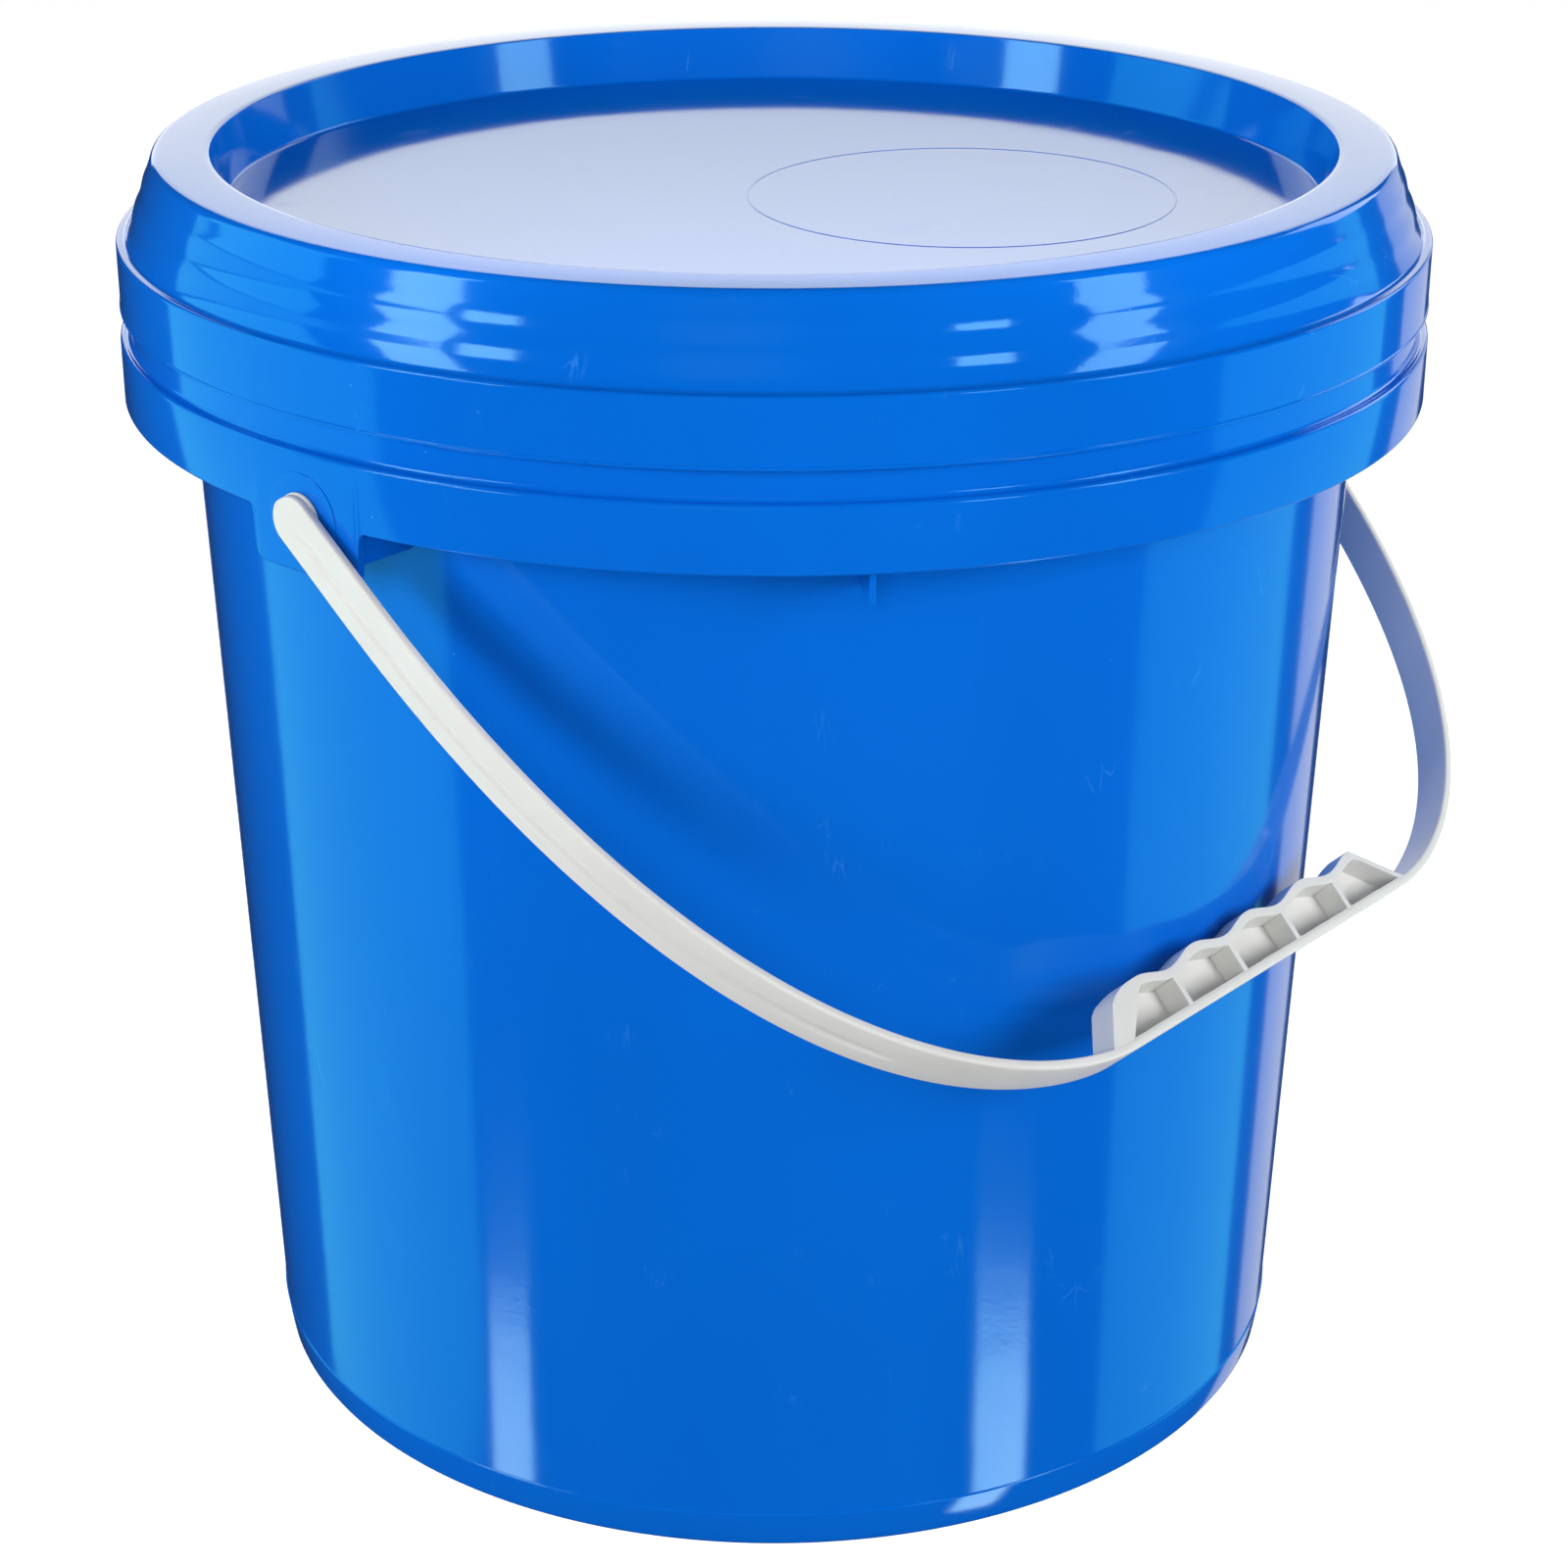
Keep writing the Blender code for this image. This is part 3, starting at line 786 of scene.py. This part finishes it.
def make_strap(material):
    half = STRAP_WIDTH / 2
    outline = [(point, half) for point in bail_side()]
    end_cap = []
    for degrees in range(84, 0, -6):
        angle = math.radians(degrees)
        end_cap.append((Vector((HALF_SPAN, -half * math.sin(angle))), half * math.cos(angle)))
    outline = end_cap + outline
    whole = [(to_side(point, 1), width) for point, width in outline]
    for k in range(1, 24):
        middle_x = MIDDLE_X + FLAT_HALF * (1 - k / 12)
        whole.append((Vector((middle_x, REACH)), half))
    whole += [(to_side(point, -1), width) for point, width in reversed(outline)]
    rings = []
    for k, (point, width) in enumerate(whole):
        along = (whole[min(k + 1, len(whole) - 1)][0] - whole[max(k - 1, 0)][0]).normalized()
        inward = Vector((-along.y, along.x))
        ring = []
        for offset, depth in strap_section(width, groove_share(point)):
            place = on_bail(point.x, point.y, offset, -inward.y * depth)
            place.x += inward.x * depth
            ring.append(place)
        rings.append(ring)
    return link_mesh("handle_strap", skin(rings), material)


def crest_drop(x):
    """How far the grip's edge lies below its crests, at x from the grip's middle."""
    return FINGER_DEPTH * (1 - math.cos(2 * math.pi * x / FINGER_PITCH)) / 2


def grip_place(u, v, w):
    """u runs along the grip from its middle, v is the depth and w the offset."""
    return on_bail(MIDDLE_X + u, REACH, w, v)


def grip_block(material):
    crest = STRAP + GRIP_HEIGHT
    base = STRAP / 2
    steps = 20
    top_half = FINGERS / 2 * FINGER_PITCH
    outline = [(GRIP_HALF_LENGTH, base), (GRIP_HALF_LENGTH, STRAP - 0.0001)]
    for k in range(FINGERS * steps + 1):
        x = top_half - k * FINGER_PITCH / steps
        outline.append((x, crest - crest_drop(x)))
    outline += [(x, crest - drop) for x, drop in GRIP_LEFT_END]
    outline += [(GRIP_LEFT_BASE, STRAP - 0.0001), (GRIP_LEFT_BASE, base)]
    front = STRAP_WIDTH / 2 - 0.0001
    return link_mesh("handle_grip", prism(outline, grip_place, -GRIP_BACK, front), material)


def wall_tool(material):
    """The bucket's solid side behind the grip, a gap larger, which the grip is cut to rest on."""
    low, high, far = PIVOT_Z - 0.15, PIVOT_Z - 0.09, -0.12
    outline = [(-wall_radius(z) - GAP, z) for z in (low, high)]
    outline += [(far, high), (far, low)]

    def place(u, v, w):
        return Vector((w, u, v))

    mesh = prism(outline, place, -2 * GRIP_HALF_LENGTH, 2 * GRIP_HALF_LENGTH)
    return link_mesh("wall_tool", mesh, material)


def pocket_tool(index, material):
    """The pocket under one crest, open on the front, with walls that draw in towards its floor."""
    middle = (index - FINGERS / 2) * FINGER_PITCH
    top_half = FINGERS / 2 * FINGER_PITCH
    steps = 10
    rings = []
    for offset, draw in ((STRAP_WIDTH / 2 - POCKET_DEPTH, 0.00035), (STRAP_WIDTH, -0.0002)):
        half = (FINGER_PITCH - RIB_THICKNESS) / 2 - draw
        roof = STRAP + GRIP_HEIGHT - POCKET_ROOF - draw
        floor = STRAP + 0.0001
        sides = []
        for side in (-1, 1):
            line = []
            if side * middle > top_half - FINGER_PITCH / 2:
                line += [(middle + side * 0.0022, roof - 0.0012)]
                line += [(side * (GRIP_HALF_LENGTH - POCKET_ROOF - draw), floor)]
            else:
                for k in range(1, steps + 1):
                    x = middle + side * half * k / steps
                    line.append((x, roof - crest_drop(x)))
                line.append((middle + side * half, floor))
            sides.append(line)
        outline = sides[0][::-1] + [(middle, roof)] + sides[1]
        rings.append([grip_place(u, v, offset) for u, v in outline])
    return link_mesh(f"pocket_tool_{index}", skin(rings), material)


def make_grip(material):
    grip = grip_block(material)
    cut(grip, wall_tool(material))
    for index in range(FINGERS + 1):
        cut(grip, pocket_tool(index, material))
    bevel(grip, GRIP_EDGE, angle=28)
    grip.data.shade_smooth()
    grip.data.set_sharp_from_angle(angle=math.radians(30))
    return grip


def make_studs(material):
    """Boss, stud and snap head of each pivot, as one turned piece."""
    made = []
    inner_face = HALF_SPAN - STRAP
    ear_inner = COLLAR_RADIUS - WALL
    head_face = ear_inner - HEAD_GAP
    profile = rounded([
        (inner_face + 0.0008, 0.0),
        (inner_face + 0.0008, BOSS_RADIUS - 0.0010, 0.0003),
        (inner_face - 0.0001, BOSS_RADIUS, 0.0004),
        (COLLAR_RADIUS + GAP, BOSS_RADIUS, 0.0003),
        (COLLAR_RADIUS + GAP, STUD_RADIUS, 0.0002),
        (head_face, STUD_RADIUS, 0.0002),
        (head_face, HEAD_RADIUS, 0.0005),
        (head_face - HEAD_LENGTH, HEAD_RADIUS - 0.0012, 0.0006),
        (head_face - HEAD_LENGTH, 0.0),
    ], closed=False)
    for side_name, side in (("right", 1), ("left", -1)):
        rings = []
        for x, radius in profile:
            size = max(radius, 1e-5)
            turns = even_angles(ROUND_STEPS)
            rings.append([(side * x, size * math.cos(t), PIVOT_Z + size * math.sin(t)) for t in turns])
        made.append(link_mesh(f"handle_stud_{side_name}", skin(rings), material))
    return made


# Stage

def soft_box(name, azimuth, distance, bottom, top, width, radiance, shown=True, lit=True, tint=None):
    """An upright soft box at an azimuth counted from the camera's, in degrees."""
    data = bpy.data.lights.new(name, "AREA")
    data.shape = "RECTANGLE"
    data.size = width
    data.size_y = top - bottom
    data.energy = radiance * math.pi * width * (top - bottom)
    data.color = tint or (1.0, 1.0, 1.0)
    item = bpy.data.objects.new(name, data)
    angle = VIEW_AZIMUTH + math.radians(azimuth)
    item.location = (distance * math.sin(angle), -distance * math.cos(angle), (bottom + top) / 2)
    item.rotation_euler = (math.pi / 2, 0.0, angle)
    item.visible_camera = False
    item.visible_glossy = shown
    item.visible_diffuse = lit
    item.visible_transmission = lit
    bpy.context.scene.collection.objects.link(item)


def make_world():
    """White to the camera, dim in reflections, and for the rest a fill that fades upwards."""
    world = bpy.data.worlds.new("studio")
    bpy.context.scene.world = world
    world.use_nodes = True
    nodes = world.node_tree.nodes
    links = world.node_tree.links
    nodes.clear()
    path = nodes.new("ShaderNodeLightPath")
    place = nodes.new("ShaderNodeTexCoord")
    split = nodes.new("ShaderNodeSeparateXYZ")
    links.new(place.outputs["Generated"], split.inputs[0])
    fall = nodes.new("ShaderNodeMapRange")
    fall.inputs["From Min"].default_value = -0.35
    fall.inputs["From Max"].default_value = 0.35
    fall.inputs["To Min"].default_value = WORLD_FILL
    fall.inputs["To Max"].default_value = WORLD_ZENITH
    links.new(split.outputs["Z"], fall.inputs["Value"])
    shades = []
    for strength in (fall.outputs["Result"], WORLD_GLOSS, 1.0):
        shade = nodes.new("ShaderNodeBackground")
        if isinstance(strength, float):
            shade.inputs["Strength"].default_value = strength
        else:
            links.new(strength, shade.inputs["Strength"])
        shades.append(shade.outputs[0])
    glossy = nodes.new("ShaderNodeMixShader")
    links.new(path.outputs["Is Glossy Ray"], glossy.inputs[0])
    links.new(shades[0], glossy.inputs[1])
    links.new(shades[1], glossy.inputs[2])
    seen = nodes.new("ShaderNodeMixShader")
    links.new(path.outputs["Is Camera Ray"], seen.inputs[0])
    links.new(glossy.outputs[0], seen.inputs[1])
    links.new(shades[2], seen.inputs[2])
    output = nodes.new("ShaderNodeOutputWorld")
    links.new(seen.outputs[0], output.inputs["Surface"])


def make_floor():
    bm = bmesh.new()
    bmesh.ops.create_circle(bm, cap_ends=True, segments=96, radius=FLOOR_RADIUS)
    nodes = Nodes("pale_floor")
    nodes.shader.inputs["Roughness"].default_value = 0.9
    nodes.shader.inputs["Specular IOR Level"].default_value = 0.1
    tone = nodes.spread(nodes.noise(0.8, detail=3.0), 0.3, 0.7, 0.0, 1.0)
    colour = nodes.blend(tone, (0.90, 0.90, 0.90), (0.93, 0.93, 0.93))
    nodes.link(colour, nodes.shader.inputs["Base Color"])
    nodes.shader.inputs["Emission Color"].default_value = (1.0, 1.0, 1.0, 1.0)
    nodes.shader.inputs["Emission Strength"].default_value = FLOOR_GLOW
    floor = link_mesh("floor", bm, nodes.material)
    floor.location.z = -FLOOR_DROP
    floor.visible_glossy = False
    floor.visible_diffuse = False


def make_lights():
    """Keys and a fill that only light, and cards that only show in the gloss.

    Each has a name, an azimuth, a distance, a bottom and a top height, a width and a radiance. Some
    cards reach below the floor, which reflections don't see.
    """
    soft_box("key_left", -61, 1.5, 0.35, 0.95, 0.36, 22.0, shown=False)
    soft_box("key_right", 64, 1.5, 0.20, 1.00, 0.45, 15.0, shown=False)
    soft_box("key_front", -8, 1.5, 0.45, 1.15, 0.50, 6.0, shown=False)
    soft_box("lid_fill", 0, 0.16, 0.36, 0.44, 0.25, 2.2, shown=False)
    soft_box("box_left", -62, 1.5, 0.60, 1.35, 0.36, 8.0, lit=False)
    soft_box("box_right", 60, 1.5, 0.60, 1.35, 0.34, 6.5, lit=False)
    soft_box("card_left", -92, 1.3, -0.85, 0.50, 1.30, 1.4, lit=False, tint=AZURE)
    soft_box("card_right", 98, 1.3, -0.95, 0.50, 1.10, 1.1, lit=False, tint=AZURE)
    soft_box("high_left", -100, 1.5, 0.55, 1.35, 0.90, 2.0, lit=False, tint=AZURE)
    soft_box("high_right", 124, 1.5, 0.55, 1.30, 0.60, 3.0, lit=False)
    soft_box("strip_left", -59, 1.5, -1.10, -0.84, 0.26, 7.5, lit=False)
    soft_box("strip_right", 50, 1.5, -1.60, -0.84, 0.32, 9.0, lit=False)
    soft_box("inner_left", -47, 1.5, 0.48, 0.74, 0.26, 9.0, lit=False)
    soft_box("inner_right", 34, 1.5, 0.48, 0.74, 0.24, 8.0, lit=False)
    soft_box("edge_right", 141, 1.6, -1.40, 0.60, 0.55, 0.85, lit=False)
    soft_box("backdrop", 180, 2.0, 0.30, 1.80, 2.2, 2.0, lit=False)
    soft_box("backdrop_low", 180, 2.0, -1.50, 0.30, 1.3, 1.3, lit=False)


def main():
    bpy.context.scene.view_settings.view_transform = "Standard"
    make_camera()
    blue = blue_plastic("blue_polypropylene", 0.09, 0.25)
    lid_blue = blue_plastic("blue_polypropylene_lid", 0.07, 0.35)
    white = white_plastic("white_polyethylene")
    foam = foam_rubber("grey_foam")
    bucket_pieces = [make_bucket_shell(blue)]
    bucket_pieces += make_ribs(blue)
    bucket_pieces += make_ear_plates(blue)
    bucket_pieces += make_ear_pads(blue)
    lid_pieces = [make_lid(lid_blue), make_panel_mark(lid_blue)]
    seal = make_gasket(foam)
    handle_pieces = [make_strap(white), make_grip(white)]
    handle_pieces += make_studs(white)
    for pieces, body, slot in ((bucket_pieces, "bucket", "blue_plastic"),
                               (lid_pieces, "lid", "blue_plastic"),
                               ([seal], "lid", "grey_rubber"),
                               (handle_pieces, "handle", "white_plastic")):
        for piece in pieces:
            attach(piece, body)
    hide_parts("bucket")
    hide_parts("lid")
    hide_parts("lid_gasket")
    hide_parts("handle")
    make_world()
    make_floor()
    make_lights()


main()
